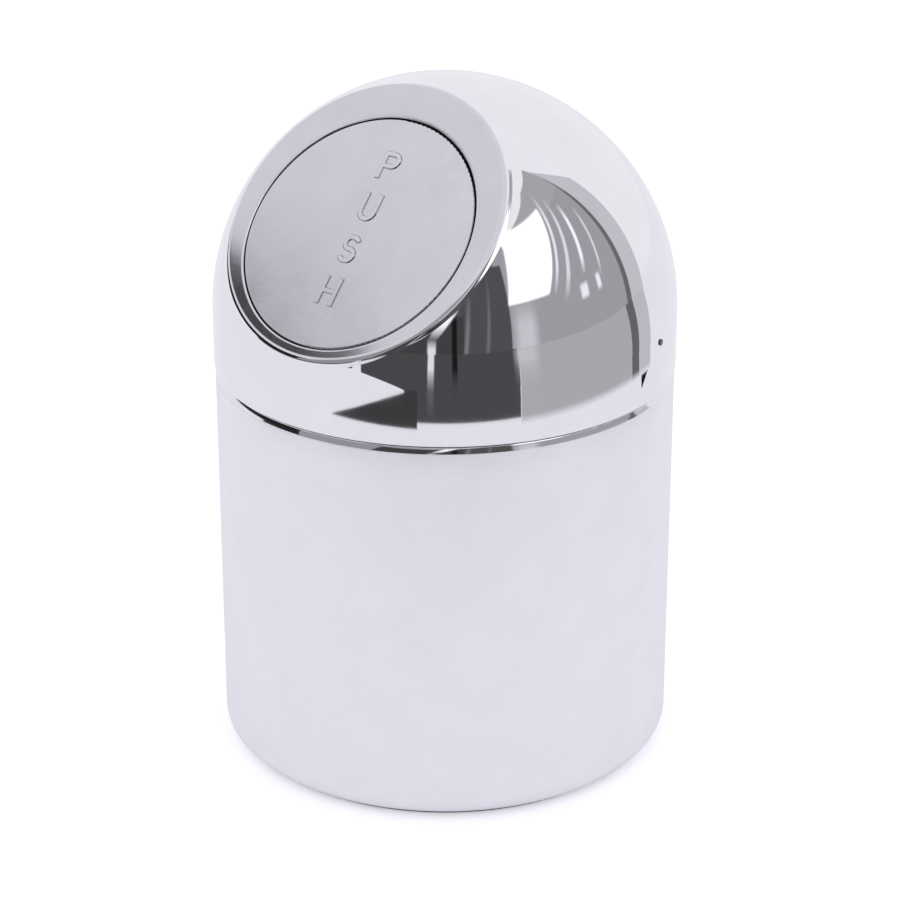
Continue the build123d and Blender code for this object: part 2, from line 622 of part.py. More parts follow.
with BuildPart() as flap_backing:
    disc(HOLE_PLANE.offset(BACKING_REAR), BACKING_RIM, BACKING_RIM_FACE - BACKING_REAR)
    disc(HOLE_PLANE.offset(BACKING_REAR), BACKING_BOSS, BACKING_FRONT - BACKING_REAR, centre=(0, -FLAP_DROP))
    pocket_depth = BACKING_FRONT - BACKING_SKIN - BACKING_REAR
    disc(HOLE_PLANE.offset(BACKING_REAR), BACKING_POCKET, pocket_depth, mode=Mode.SUBTRACT)
    with BuildSketch(HOLE_PLANE.offset(BACKING_REAR)):
        with GridLocations(RIB_SPACING, 0, 3, 1):
            Rectangle(RIB_THICKNESS, 2 * BACKING_BOSS)
        with GridLocations(0, RIB_SPACING, 1, 3):
            Rectangle(2 * BACKING_BOSS, RIB_THICKNESS)
        Circle(BACKING_POCKET + RIB_BITE, mode=Mode.INTERSECT)
    extrude(amount=pocket_depth + RIB_BITE)
    hinge_notch()
    for side in (1, -1):
        with BuildSketch(SIDE_PLANE.offset(side * KNUCKLE_INNER)):
            with Locations((HINGE_RISE, -HINGE_DEPTH)):
                Circle(KNUCKLE_RADIUS)
            with BuildLine():
                Polyline(
                    (HINGE_RISE - KNUCKLE_REACH, BACKING_REAR),
                    (HINGE_RISE, -HINGE_DEPTH - KNUCKLE_RADIUS),
                    (HINGE_RISE, -HINGE_DEPTH + KNUCKLE_RADIUS),
                    (HINGE_RISE - KNUCKLE_REACH, -HINGE_DEPTH + KNUCKLE_RADIUS),
                    close=True,
                )
            make_face()
        extrude(amount=side * KNUCKLE_LENGTH)
        # A cup on the knuckle's outer end hides the spring's hooked end
        cup_face = side * (KNUCKLE_INNER + KNUCKLE_LENGTH)
        with BuildSketch(PIN_PLANE.offset(cup_face)):
            Circle(CUP_RADIUS)
            Circle(CUP_BORE, mode=Mode.SUBTRACT)
        extrude(amount=side * CUP_DEPTH)
    disc(PIN_PLANE.offset(-ARM_OUTER), BUSH_OUTER + PIN_CLEARANCE, 2 * ARM_OUTER, mode=Mode.SUBTRACT)
save(flap_backing, "flap_backing")

# ---------------------------------------------------------------------------
# Flap gasket: a soft ring on the backing's rim that lands behind the flange
# ---------------------------------------------------------------------------
GASKET_OUTER = 48.0
GASKET_INNER = BACKING_BOSS + 0.6
GASKET_FACE = -HOLE_FLANGE_DEPTH - SMALL_GAP
with BuildPart() as flap_gasket:
    with BuildSketch(HOLE_PLANE.offset(BACKING_RIM_FACE)):
        Circle(GASKET_OUTER)
        Circle(GASKET_INNER, mode=Mode.SUBTRACT)
    extrude(amount=GASKET_FACE - BACKING_RIM_FACE)
    hinge_notch()
save(flap_gasket, "flap_gasket")

# ---------------------------------------------------------------------------
# Knuckle bushes: nylon sleeves between the knuckles and the pin
# ---------------------------------------------------------------------------
BUSH_FLANGE = 2.8
BUSH_FLANGE_THICKNESS = 0.6
with BuildPart() as knuckle_bushes:
    for side in (1, -1):
        disc(PIN_PLANE.offset(side * KNUCKLE_INNER), BUSH_OUTER, side * KNUCKLE_LENGTH)
        disc(PIN_PLANE.offset(side * KNUCKLE_INNER), BUSH_FLANGE, -side * BUSH_FLANGE_THICKNESS)
    disc(PIN_PLANE.offset(-PIN_HALF), BUSH_BORE, 2 * PIN_HALF, mode=Mode.SUBTRACT)
save(knuckle_bushes, "knuckle_bushes")

# ---------------------------------------------------------------------------
# Torsion springs: one each side, wound round the pin from the knuckle's cup
# to a straight leg that bears up under the bracket's web
# ---------------------------------------------------------------------------
SPRING_WIRE = 0.4
SPRING_COIL = 2.5
SPRING_TURNS = 4
SPRING_START = KNUCKLE_INNER + KNUCKLE_LENGTH + SPRING_WIRE + SMALL_GAP
LEG_ANGLE = 10.0
LEG_LENGTH = 24.0
LEG_DRIFT = 1.6
SPRING_END = ARM_INNER - SPRING_WIRE - SMALL_GAP - LEG_DRIFT
spring_length = SPRING_END - SPRING_START
start_way = Vector(0, sin(radians(LEG_ANGLE)), -cos(radians(LEG_ANGLE)))
spring_plane = Plane((SPRING_START, HINGE.Y, HINGE.Z), x_dir=start_way, z_dir=(1, 0, 0))
coil = spring_plane * Helix(spring_length / SPRING_TURNS, spring_length, SPRING_COIL)
with BuildPart() as torsion_spring_right:
    with BuildLine() as spring_path:
        add(coil)
        Line(coil @ 1, (coil @ 1) + (coil % 1) * LEG_LENGTH)
    with BuildSketch(Plane(coil @ 0, z_dir=coil % 0)):
        Circle(SPRING_WIRE)
    sweep(path=spring_path.wires()[0], is_frenet=True)
save(torsion_spring_right, "torsion_spring_right")

with BuildPart() as torsion_spring_left:
    add(mirror(torsion_spring_right.part, about=Plane.YZ, mode=Mode.PRIVATE))
save(torsion_spring_left, "torsion_spring_left")
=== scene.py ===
from math import atan2, cos, pi, radians, sin, sqrt

import bpy
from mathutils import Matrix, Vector


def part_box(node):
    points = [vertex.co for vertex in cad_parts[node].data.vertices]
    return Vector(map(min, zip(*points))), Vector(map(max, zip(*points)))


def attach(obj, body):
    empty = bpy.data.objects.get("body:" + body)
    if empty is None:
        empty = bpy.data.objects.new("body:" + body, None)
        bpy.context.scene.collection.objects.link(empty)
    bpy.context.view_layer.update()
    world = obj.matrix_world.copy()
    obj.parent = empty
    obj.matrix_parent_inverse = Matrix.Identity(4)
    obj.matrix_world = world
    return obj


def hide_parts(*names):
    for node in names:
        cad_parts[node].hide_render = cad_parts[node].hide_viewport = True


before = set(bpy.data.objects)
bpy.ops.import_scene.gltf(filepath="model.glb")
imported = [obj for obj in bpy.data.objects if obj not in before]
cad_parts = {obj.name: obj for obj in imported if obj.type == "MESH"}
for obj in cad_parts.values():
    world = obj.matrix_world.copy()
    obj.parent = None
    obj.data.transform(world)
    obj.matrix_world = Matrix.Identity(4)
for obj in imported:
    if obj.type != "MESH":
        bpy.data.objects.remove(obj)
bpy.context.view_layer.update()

# Camera: a long lens a little above the lid, to the right of the flap's direction.
# It looks down on the bin, which fills most of the picture's height.
CAMERA_TURN = radians(36.7)
CAMERA_RISE = radians(23.5)
CAMERA_DISTANCE = 1.105
CAMERA_AIM = Vector((0.0015, 0.0011, 0.111))
camera_back = Vector((
    sin(CAMERA_TURN) * cos(CAMERA_RISE),
    -cos(CAMERA_TURN) * cos(CAMERA_RISE),
    sin(CAMERA_RISE),
))
lens = bpy.data.cameras.new("studio_camera")
lens.lens = 117.5
lens.clip_end = 50
camera = bpy.data.objects.new("studio_camera", lens)
camera.location = CAMERA_AIM + camera_back * CAMERA_DISTANCE
camera.rotation_mode = "QUATERNION"
camera.rotation_quaternion = (-camera_back).to_track_quat("-Z", "Y")
bpy.context.scene.collection.objects.link(camera)
bpy.context.scene.camera = camera


# Base pad: a moulded black disc that keeps the can from slipping.
# Its plastic has a fine spark-eroded grain and is scuffed grey where it meets the floor.
def effect(name, inputs, outputs):
    """An empty node group with float sockets: inputs with their default values, and outputs."""
    group = bpy.data.node_groups.new(name, "ShaderNodeTree")
    for socket, value in inputs.items():
        made = group.interface.new_socket(socket, in_out="INPUT", socket_type="NodeSocketFloat")
        made.default_value = value
    for socket in outputs:
        group.interface.new_socket(socket, in_out="OUTPUT", socket_type="NodeSocketFloat")
    return group, group.nodes.new("NodeGroupInput"), group.nodes.new("NodeGroupOutput")


def math_node(tree, operation, first, second=0.5, third=0.5):
    """A Math node whose inputs are sockets or numbers."""
    node = tree.nodes.new("ShaderNodeMath")
    node.operation = operation
    for place, value in enumerate((first, second, third)):
        if isinstance(value, bpy.types.NodeSocket):
            tree.links.new(value, node.inputs[place])
        else:
            node.inputs[place].default_value = value
    return node.outputs[0]


def blend_colours(tree, factor, first, second):
    """A Mix node between two colours, each a socket or a value."""
    node = tree.nodes.new("ShaderNodeMix")
    node.data_type = "RGBA"
    tree.links.new(factor, node.inputs["Factor"])
    for place, value in ((6, first), (7, second)):
        if isinstance(value, bpy.types.NodeSocket):
            tree.links.new(value, node.inputs[place])
        else:
            node.inputs[place].default_value = (*value[:3], 1)
    return node.outputs[2]


def noise(tree, coordinates, scale, detail=2.0, roughness=0.5):
    """A Noise Texture's value over the given coordinates."""
    node = tree.nodes.new("ShaderNodeTexNoise")
    node.inputs["Detail"].default_value = detail
    node.inputs["Roughness"].default_value = roughness
    tree.links.new(coordinates, node.inputs["Vector"])
    if isinstance(scale, bpy.types.NodeSocket):
        tree.links.new(scale, node.inputs["Scale"])
    else:
        node.inputs["Scale"].default_value = scale
    return node.outputs["Fac"]


def map_range(tree, value, low, high, new_low=0.0, new_high=1.0):
    """A Map Range node from one span to another."""
    node = tree.nodes.new("ShaderNodeMapRange")
    tree.links.new(value, node.inputs["Value"])
    for place, number in enumerate((low, high, new_low, new_high), start=1):
        if isinstance(number, bpy.types.NodeSocket):
            tree.links.new(number, node.inputs[place])
        else:
            node.inputs[place].default_value = number
    return node.outputs["Result"]


# Edge wear: a mask that is bright on outer edges and broken up by noise.
edge_wear, wear_in, wear_out = effect(
    "edge_wear",
    {"Reach": 0.06, "Breakup": 0.5, "Scale": 180.0},
    ("Mask",),
)
wear_geometry = edge_wear.nodes.new("ShaderNodeNewGeometry")
wear_place = edge_wear.nodes.new("ShaderNodeTexCoord")
wear_top = math_node(edge_wear, "ADD", wear_in.outputs["Reach"], 0.5)
wear_edge = map_range(edge_wear, wear_geometry.outputs["Pointiness"], 0.5, wear_top)
wear_noise = noise(edge_wear, wear_place.outputs["Object"], wear_in.outputs["Scale"], 3.0)
wear_broken = map_range(edge_wear, wear_noise, wear_in.outputs["Breakup"], 0.75)
wear_mask = math_node(edge_wear, "MULTIPLY", wear_edge, wear_broken)
edge_wear.links.new(wear_mask, wear_out.inputs["Mask"])

# Moulded grain: fine pits and a faint cloudiness, for every plastic and rubber piece.
moulded_grain, grain_in, grain_out = effect(
    "moulded_grain",
    {"Pit Scale": 2600.0, "Cloud Scale": 40.0},
    ("Pits", "Clouds"),
)
grain_place = moulded_grain.nodes.new("ShaderNodeTexCoord")
grain_pits = noise(moulded_grain, grain_place.outputs["Object"], grain_in.outputs["Pit Scale"], 1.0)
grain_clouds = noise(moulded_grain, grain_place.outputs["Object"], grain_in.outputs["Cloud Scale"], 4.0)
moulded_grain.links.new(grain_pits, grain_out.inputs["Pits"])
moulded_grain.links.new(grain_clouds, grain_out.inputs["Clouds"])


def place_effect(tree, group, **values):
    """Put an effect in a material, with its own values."""
    node = tree.nodes.new("ShaderNodeGroup")
    node.node_tree = group
    for socket, value in values.items():
        node.inputs[socket.replace("_", " ")].default_value = value
    return node


def new_material(name, metallic, **sockets):
    """A material with a Principled shader whose fixed values are set on its sockets."""
    material = bpy.data.materials.new(name)
    material.use_nodes = True
    shader = material.node_tree.nodes["Principled BSDF"]
    shader.inputs["Metallic"].default_value = metallic
    for socket, value in sockets.items():
        shader.inputs[socket.replace("_", " ")].default_value = value
    return material, material.node_tree, shader


def add_bump(tree, shader, height, depth):
    """Feed a height into the shader's normal; depth is in metres."""
    node = tree.nodes.new("ShaderNodeBump")
    node.inputs["Distance"].default_value = depth
    node.inputs["Strength"].default_value = 1.0
    tree.links.new(height, node.inputs["Height"])
    tree.links.new(node.outputs["Normal"], shader.inputs["Normal"])


def plastic(name, dark, light, worn, roughness, pit_depth):
    """Moulded plastic or rubber: cloudy colour, pitted skin and pale rubbed edges."""
    material, tree, shader = new_material(name, 0.0)
    grain = place_effect(tree, moulded_grain)
    wear = place_effect(tree, edge_wear)
    base = blend_colours(tree, grain.outputs["Clouds"], dark, light)
    colour = blend_colours(tree, wear.outputs["Mask"], base, worn)
    tree.links.new(colour, shader.inputs["Base Color"])
    rough = map_range(tree, grain.outputs["Clouds"], 0.3, 0.7, roughness - 0.06, roughness + 0.06)
    tree.links.new(rough, shader.inputs["Roughness"])
    add_bump(tree, shader, grain.outputs["Pits"], pit_depth)
    return material


def dress(node, material):
    """Give a CAD node its material."""
    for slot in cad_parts[node].material_slots:
        slot.material = material


pad_plastic = plastic(
    "pad_plastic", (0.016, 0.016, 0.017), (0.030, 0.030, 0.032), (0.12, 0.12, 0.12), 0.6, 3e-5
)
dress("base_pad", pad_plastic)


# Body shell: a deep-drawn steel can with a rounded bottom edge, satin finished on a lathe,
# so its grain runs round it. The finish is set only partly metallic, so it stays pale. This
# mesh leaves a round hole in the middle of the bottom, over the pad; the CAD can is closed there.
def lathe(name, outline, turns):
    """Turn a closed outline of (radius, height) points about the can's axis."""
    count = len(outline)
    points = []
    for step in range(turns):
        angle = 2 * pi * step / turns
        points += [(radius * cos(angle), radius * sin(angle), height) for radius, height in outline]
    faces = []
    for step in range(turns):
        here, there = step * count, (step + 1) % turns * count
        for row in range(count):
            after = (row + 1) % count
            faces.append((here + row, there + row, there + after, here + after))
    return shell(name, points, faces)


def shell(name, points, faces):
    """A smooth-shaded mesh object from points and faces."""
    mesh = bpy.data.meshes.new(name)
    mesh.from_pydata(points, [], faces)
    mesh.update()
    mesh.shade_smooth()
    piece = bpy.data.objects.new(name, mesh)
    bpy.context.scene.collection.objects.link(piece)
    return piece


def arc(centre, radius, start, end, steps):
    """Points on an arc, angles in degrees."""
    angles = [radians(start + (end - start) * step / steps) for step in range(steps + 1)]
    return [(centre[0] + radius * cos(angle), centre[1] + radius * sin(angle)) for angle in angles]


def run(start, end, steps):
    """Evenly spaced points between two points, without the ends."""
    return [
        (
            start[0] + (end[0] - start[0]) * step / steps,
            start[1] + (end[1] - start[1]) * step / steps,
        )
        for step in range(1, steps)
    ]


LATHE_TURNS = 256
STEEL_SHEET = 0.0008
CAN_EDGE_RADIUS = 0.0075
CAN_LIP_RADIUS = 0.0003
CAN_OPENING = 0.010
SATIN_METALLIC = 0.3
can_low, can_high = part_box("body_shell")
can_radius = can_high.x
can_inner = can_radius - STEEL_SHEET
edge_height = can_low.z + CAN_EDGE_RADIUS
can_outline = [(CAN_OPENING, can_low.z)]
can_outline += run((CAN_OPENING, can_low.z), (can_radius - CAN_EDGE_RADIUS, can_low.z), 8)
can_outline += arc((can_radius - CAN_EDGE_RADIUS, edge_height), CAN_EDGE_RADIUS, -90, 0, 16)
can_outline += run((can_radius, edge_height), (can_radius, can_high.z), 16)
can_outline += arc((can_radius - CAN_LIP_RADIUS, can_high.z - CAN_LIP_RADIUS), CAN_LIP_RADIUS, 0, 90, 3)
can_outline += [(can_inner, can_high.z)]
can_outline += run((can_inner, can_high.z), (can_inner, edge_height), 12)
can_outline += arc((can_radius - CAN_EDGE_RADIUS, edge_height), CAN_EDGE_RADIUS - STEEL_SHEET, 0, -90, 10)
can_outline += [(CAN_OPENING, can_low.z + STEEL_SHEET)]
can = lathe("can", can_outline, LATHE_TURNS)

# Turned grain: brush lines that run round the can's axis, broken into short strokes.
turned_grain, turned_in, turned_out = effect(
    "turned_grain",
    {"Stroke": 6.0, "Fineness": 5200.0, "Mottle Scale": 60.0},
    ("Lines", "Mottle"),
)
turned_place = turned_grain.nodes.new("ShaderNodeTexCoord")
turned_parts = turned_grain.nodes.new("ShaderNodeSeparateXYZ")
turned_grain.links.new(turned_place.outputs["Object"], turned_parts.inputs[0])
turned_angle = math_node(turned_grain, "ARCTAN2", turned_parts.outputs["Y"], turned_parts.outputs["X"])
turned_along = math_node(turned_grain, "MULTIPLY", turned_angle, turned_in.outputs["Stroke"])
turned_across = math_node(turned_grain, "MULTIPLY", turned_parts.outputs["Z"], turned_in.outputs["Fineness"])
turned_vector = turned_grain.nodes.new("ShaderNodeCombineXYZ")
turned_grain.links.new(turned_along, turned_vector.inputs[0])
turned_grain.links.new(turned_across, turned_vector.inputs[1])
turned_lines = noise(turned_grain, turned_vector.outputs[0], 1.0, 3.0, 0.6)
turned_mottle = noise(turned_grain, turned_place.outputs["Object"], turned_in.outputs["Mottle Scale"], 4.0)
turned_grain.links.new(turned_lines, turned_out.inputs["Lines"])
turned_grain.links.new(turned_mottle, turned_out.inputs["Mottle"])


def turned_steel(name, dark, light, roughness, spread, line_depth, stroke, fineness, metallic=1.0):
    """Steel finished on a lathe: tone, roughness and relief all follow the brush lines."""
    material, tree, shader = new_material(name, metallic)
    grain = place_effect(tree, turned_grain, Stroke=stroke, Fineness=fineness)
    wear = place_effect(tree, edge_wear, Reach=0.1)
    tone = math_node(tree, "MULTIPLY_ADD", grain.outputs["Lines"], 0.5, 0.25)
    tone = math_node(tree, "MULTIPLY_ADD", grain.outputs["Mottle"], 0.5, tone)
    base = blend_colours(tree, map_range(tree, tone, 0.5, 1.0), dark, light)
    colour = blend_colours(tree, wear.outputs["Mask"], base, (0.95, 0.95, 0.96))
    tree.links.new(colour, shader.inputs["Base Color"])
    rough = map_range(tree, tone, 0.5, 1.0, roughness - spread, roughness + spread)
    tree.links.new(rough, shader.inputs["Roughness"])
    add_bump(tree, shader, grain.outputs["Lines"], line_depth)
    return material


satin_steel = turned_steel(
    "satin_steel", (0.84, 0.84, 0.89), (0.92, 0.92, 0.965), 0.42, 0.05, 2e-6, 14.0, 5200.0, SATIN_METALLIC
)
can.data.materials.append(satin_steel)
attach(can, "body")
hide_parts("body_shell")

# Rim band: a polished steel ring pressed into the can's mouth. Its edge slopes in
# towards the lid and is slightly crowned, so it mirrors what is level with it.
BAND_SLOPE = 0.0007
BAND_CROWN = 0.00006
BAND_ROUND = 0.00025
BAND_INNER = 0.0826
BAND_STEPS = 8
PRESS_GAP = 0.0001
band_low, band_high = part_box("rim_band")
band_seat = can_high.z
band_plug = can_inner - PRESS_GAP
band_outline = []
for step in range(BAND_STEPS + 1):
    part = step / BAND_STEPS
    crown = BAND_CROWN * (1 - (2 * part - 1) ** 2)
    band_height = band_seat + (band_high.z - BAND_ROUND / 2 - band_seat) * part
    band_outline.append((can_radius - BAND_SLOPE * part + crown, band_height))
band_outline += [(can_radius - BAND_SLOPE - BAND_ROUND, band_high.z)]
band_outline += [(BAND_INNER + BAND_ROUND, band_high.z), (BAND_INNER, band_high.z - BAND_ROUND)]
band_outline += [(BAND_INNER, band_low.z), (band_plug, band_low.z), (band_plug, band_seat)]
rim_ring = lathe("rim_ring", band_outline, LATHE_TURNS)
band_steel = turned_steel("band_steel", (0.80, 0.80, 0.83), (0.90, 0.90, 0.93), 0.06, 0.02, 3e-7, 8.0, 7000.0)
rim_ring.data.materials.append(band_steel)
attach(rim_ring, "body")
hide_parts("rim_band")

# Inner bucket: an injection-moulded charcoal liner that lifts out by its handle.
# It tapers towards its bottom, and its rim is turned down.
bucket_plastic = plastic(
    "bucket_plastic", (0.055, 0.056, 0.060), (0.085, 0.086, 0.092), (0.20, 0.20, 0.21), 0.5, 2e-5
)
dress("inner_bucket", bucket_plastic)


# Bail handle: one bent steel wire, drawn bright, whose ends turn in the bucket's rim.
# Drawn, plated and ground steel pieces share this finish: fine scratches and darker pits.
def small_steel(name, dark, light, roughness, scratch_scale):
    """Steel of small hardware: cloudy plating, fine scratches and bright edges."""
    material, tree, shader = new_material(name, 1.0)
    grain = place_effect(tree, moulded_grain, Pit_Scale=scratch_scale, Cloud_Scale=220.0)
    wear = place_effect(tree, edge_wear, Reach=0.08)
    base = blend_colours(tree, map_range(tree, grain.outputs["Clouds"], 0.3, 0.7), dark, light)
    colour = blend_colours(tree, wear.outputs["Mask"], base, (0.85, 0.85, 0.85))
    tree.links.new(colour, shader.inputs["Base Color"])
    rough = map_range(tree, grain.outputs["Clouds"], 0.3, 0.7, roughness - 0.08, roughness + 0.08)
    tree.links.new(rough, shader.inputs["Roughness"])
    add_bump(tree, shader, grain.outputs["Pits"], 4e-6)
    return material


drawn_wire = small_steel("drawn_wire", (0.42, 0.42, 0.43), (0.62, 0.62, 0.63), 0.28, 3000.0)
dress("bail_handle", drawn_wire)

# Seat ring: a moulded black collar that centres the lid in the can's mouth.
# The lid rests on it and turns on it.
ring_plastic = plastic(
    "ring_plastic", (0.018, 0.018, 0.019), (0.034, 0.034, 0.036), (0.10, 0.10, 0.10), 0.48, 2e-5
)
dress("seat_ring", ring_plastic)


# Lid dome: drawn steel, buffed to a mirror, with a hem turned in at the bottom.
# A collar rises round the slanted face: a rounded shoulder over a hollow neck.
# The face has a duller finish than the dome, up to the middle of the shoulder.
FACE_TILT = radians(43.8)
FACE_DISTANCE = 0.0658
SHOULDER_REACH = 0.0566
SHOULDER_RADIUS = 0.003
NECK_RADIUS = 0.004
HOLE_RADIUS = 0.0457
HOLE_DROP = 0.0049
HOLE_EDGE = 0.0005
FLANGE_DEPTH = 0.0032
HEM_RADIUS = 0.001
HEM_INNER = 0.0828
DOME_COLUMNS = 320
DOME_ROWS = 72
INNER_ROWS = 24
SKIRT_ROWS = 6
HEM_ROWS = 8
HOLE_EDGE_ROWS = 5
FLAT_ROWS = 10
NECK_ROWS = 12
SHOULDER_ROWS = 16
lid_low, lid_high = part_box("lid_dome")
dome_radius = lid_high.x
dome_centre = Vector((0, 0, lid_high.z - dome_radius))
face_normal = Vector((0, -cos(FACE_TILT), sin(FACE_TILT)))
up_slope = Vector((0, sin(FACE_TILT), cos(FACE_TILT)))


def collar_points(inset):
    """(reach, distance) points of the collar from the dome to the flat face, moved in by an inset."""
    shoulder = Vector((SHOULDER_REACH - SHOULDER_RADIUS, FACE_DISTANCE - SHOULDER_RADIUS))
    neck_from_centre = dome_radius + NECK_RADIUS
    apart = SHOULDER_RADIUS + NECK_RADIUS
    along = (neck_from_centre**2 + shoulder.length_squared - apart**2) / (2 * shoulder.length)
    aside = sqrt(neck_from_centre**2 - along**2)
    way = shoulder.normalized()
    neck = way * along + Vector((way.y, -way.x)) * aside
    neck_way = neck.normalized()
    join_way = (neck - shoulder).normalized()
    points = []
    stretches = (
        (neck, NECK_RADIUS + inset, -neck_way, -join_way, NECK_ROWS),
        (shoulder, SHOULDER_RADIUS - inset, join_way, Vector((0, 1)), SHOULDER_ROWS),
    )
    for centre, radius, start, end, steps in stretches:
        first = atan2(start.y, start.x)
        swing = (atan2(end.y, end.x) - first + pi) % (2 * pi) - pi
        for step in range(bool(points), steps + 1):
            angle = first + swing * step / steps
            points.append((centre.x + radius * cos(angle), centre.y + radius * sin(angle)))
    return points


collar_inside = collar_points(STEEL_SHEET)
collar_outside = collar_points(0)
neck_angle = atan2(*collar_outside[0])


def face_ring(reach, distance, drop=0.0):
    """One row of points round the face's axis, or round an axis lower down the face."""
    row = []
    centre = dome_centre + face_normal * distance - up_slope * drop
    for column in range(DOME_COLUMNS):
        turn = 2 * pi * column / DOME_COLUMNS
        row.append(centre + (Vector((cos(turn), 0, 0)) + up_slope * sin(turn)) * reach)
    return row


def dome_row(radius, part):
    """One row on the dome, a part of the way from the collar to the equator."""
    row = []
    for column in range(DOME_COLUMNS):
        turn = 2 * pi * column / DOME_COLUMNS
        outward = Vector((cos(turn), 0, 0)) + up_slope * sin(turn)
        equator = atan2(face_normal.z, -up_slope.z * sin(turn))
        angle = neck_angle + (equator - neck_angle) * part
        row.append(dome_centre + (face_normal * cos(angle) + outward * sin(angle)) * radius)
    return row


def skirt_row(radius, height):
    """One row on the straight skirt, under the dome's equator."""
    return [
        Vector((point.x * radius / dome_radius, point.y * radius / dome_radius, height))
        for point in dome_row(dome_radius, 1)
    ]


inner_radius = dome_radius - STEEL_SHEET
hem_line = arc((dome_radius - HEM_RADIUS, lid_low.z + HEM_RADIUS), HEM_RADIUS, 0, -90, HEM_ROWS)
hem_line += [(HEM_INNER, lid_low.z), (HEM_INNER, lid_low.z + STEEL_SHEET)]
hem_line += [(inner_radius, lid_low.z + STEEL_SHEET)]
flange_end = FACE_DISTANCE - FLANGE_DEPTH
hole_edge = (HOLE_RADIUS + HOLE_EDGE, FACE_DISTANCE - HOLE_EDGE)
hole_line = [(HOLE_RADIUS + STEEL_SHEET, FACE_DISTANCE - STEEL_SHEET, HOLE_DROP)]
hole_line += [(HOLE_RADIUS + STEEL_SHEET, flange_end, HOLE_DROP), (HOLE_RADIUS, flange_end, HOLE_DROP)]
hole_line += [(*point, HOLE_DROP) for point in arc(hole_edge, HOLE_EDGE, 180, 90, HOLE_EDGE_ROWS)]
flat_width = collar_outside[-1][0] - hole_edge[0]
for step in range(1, FLAT_ROWS):
    part = step / FLAT_ROWS
    hole_line.append((hole_edge[0] + flat_width * part, FACE_DISTANCE, HOLE_DROP * (1 - part)))
rows = [dome_row(dome_radius, step / DOME_ROWS) for step in range(1, DOME_ROWS + 1)]
skirt_drop = (dome_centre.z - lid_low.z - HEM_RADIUS) / SKIRT_ROWS
rows += [skirt_row(dome_radius, dome_centre.z - skirt_drop * step) for step in range(1, SKIRT_ROWS)]
rows += [skirt_row(*point) for point in hem_line]
rows += [dome_row(inner_radius, 1 - step / INNER_ROWS) for step in range(INNER_ROWS)]
rows += [face_ring(*point) for point in collar_inside]
rows += [face_ring(*point) for point in hole_line]
face_start = len(rows) - HOLE_EDGE_ROWS - FLAT_ROWS
rows += [face_ring(*point) for point in reversed(collar_outside)]
face_end = len(rows) - NECK_ROWS - SHOULDER_ROWS // 2
dome_points = [point for row in rows for point in row]
dome_faces = []
for row in range(len(rows)):
    here, there = row * DOME_COLUMNS, (row + 1) % len(rows) * DOME_COLUMNS
    for column in range(DOME_COLUMNS):
        after = (column + 1) % DOME_COLUMNS
        dome_faces.append((here + column, here + after, there + after, there + column))
dome = shell("dome", dome_points, dome_faces)
mirror_steel = turned_steel(
    "mirror_steel", (0.83, 0.83, 0.86), (0.90, 0.90, 0.93), 0.025, 0.01, 1e-7, 10.0, 6500.0
)
face_steel = turned_steel(
    "face_steel", (0.76, 0.76, 0.80), (0.86, 0.86, 0.90), 0.07, 0.02, 4e-7, 10.0, 6500.0
)
dome.data.materials.append(mirror_steel)
dome.data.materials.append(face_steel)
for face in dome.data.polygons:
    if face_start <= face.index // DOME_COLUMNS < face_end:
        face.material_index = 1
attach(dome, "lid")
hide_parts("lid_dome")

# Hinge hoop, hinge bracket and their rivets: zinc-plated strip, pressed and riveted in the dome.
# The hoop's rivets show on the dome, and their heads are blackened.
plated_steel = small_steel("plated_steel", (0.40, 0.41, 0.42), (0.60, 0.61, 0.62), 0.38, 2200.0)
rivet_steel = small_steel("rivet_steel", (0.10, 0.10, 0.11), (0.22, 0.22, 0.23), 0.42, 3000.0)
dress("hinge_hoop", plated_steel)
dress("hinge_bracket", plated_steel)
dress("hoop_rivets", rivet_steel)
dress("bracket_rivets", plated_steel)

# Hinge pin, clips and torsion springs: a ground pin held by stamped clips, and two springs
# of hard-drawn wire that close the flap.
pin_steel = small_steel("pin_steel", (0.50, 0.50, 0.51), (0.70, 0.70, 0.71), 0.2, 4000.0)
spring_wire = small_steel("spring_wire", (0.24, 0.24, 0.25), (0.40, 0.40, 0.41), 0.32, 4000.0)
dress("hinge_pin", pin_steel)
dress("pin_clips", pin_steel)
dress("torsion_spring_right", spring_wire)
dress("torsion_spring_left", spring_wire)

# Stop pads and flap gasket: soft black rubber, glued on. The open flap meets the pads,
# and the gasket lies between the backing's rim and the hole's flange.
soft_rubber = plastic(
    "soft_rubber", (0.012, 0.012, 0.012), (0.022, 0.022, 0.022), (0.06, 0.06, 0.06), 0.75, 3e-5
)
dress("stop_pads", soft_rubber)
dress("flap_gasket", soft_rubber)

# Flap disc: a drawn steel cap with a raised word, satin finished in level strokes.
# Painted shade: the sloping sides of the letters and of the rim are coloured darker, the more they turn away
# from the face.
flap_steel = turned_steel(
    "flap_steel", (0.78, 0.78, 0.82), (0.88, 0.88, 0.92), 0.17, 0.04, 1.2e-6, 14.0, 5200.0
)
SIDE_SHADE_START = 0.97
SIDE_SHADE_FULL = 0.80
flap_tree = flap_steel.node_tree
flap_shader = flap_tree.nodes["Principled BSDF"]
flap_place = flap_tree.nodes.new("ShaderNodeTexCoord")
flap_facing = flap_tree.nodes.new("ShaderNodeVectorMath")
flap_facing.operation = "DOT_PRODUCT"
flap_facing.inputs[1].default_value = face_normal
flap_tree.links.new(flap_place.outputs["Normal"], flap_facing.inputs[0])
flap_side_shade = map_range(flap_tree, flap_facing.outputs["Value"], SIDE_SHADE_START, SIDE_SHADE_FULL)
flap_base = flap_shader.inputs["Base Color"].links[0].from_socket
# Painted shade on the letters' and rim's sloping sides: the base colour is mixed towards dark grey.
flap_shaded_colour = blend_colours(flap_tree, flap_side_shade, flap_base, (0.34, 0.34, 0.36))
flap_tree.links.new(flap_shaded_colour, flap_shader.inputs["Base Color"])
dress("flap_disc", flap_steel)

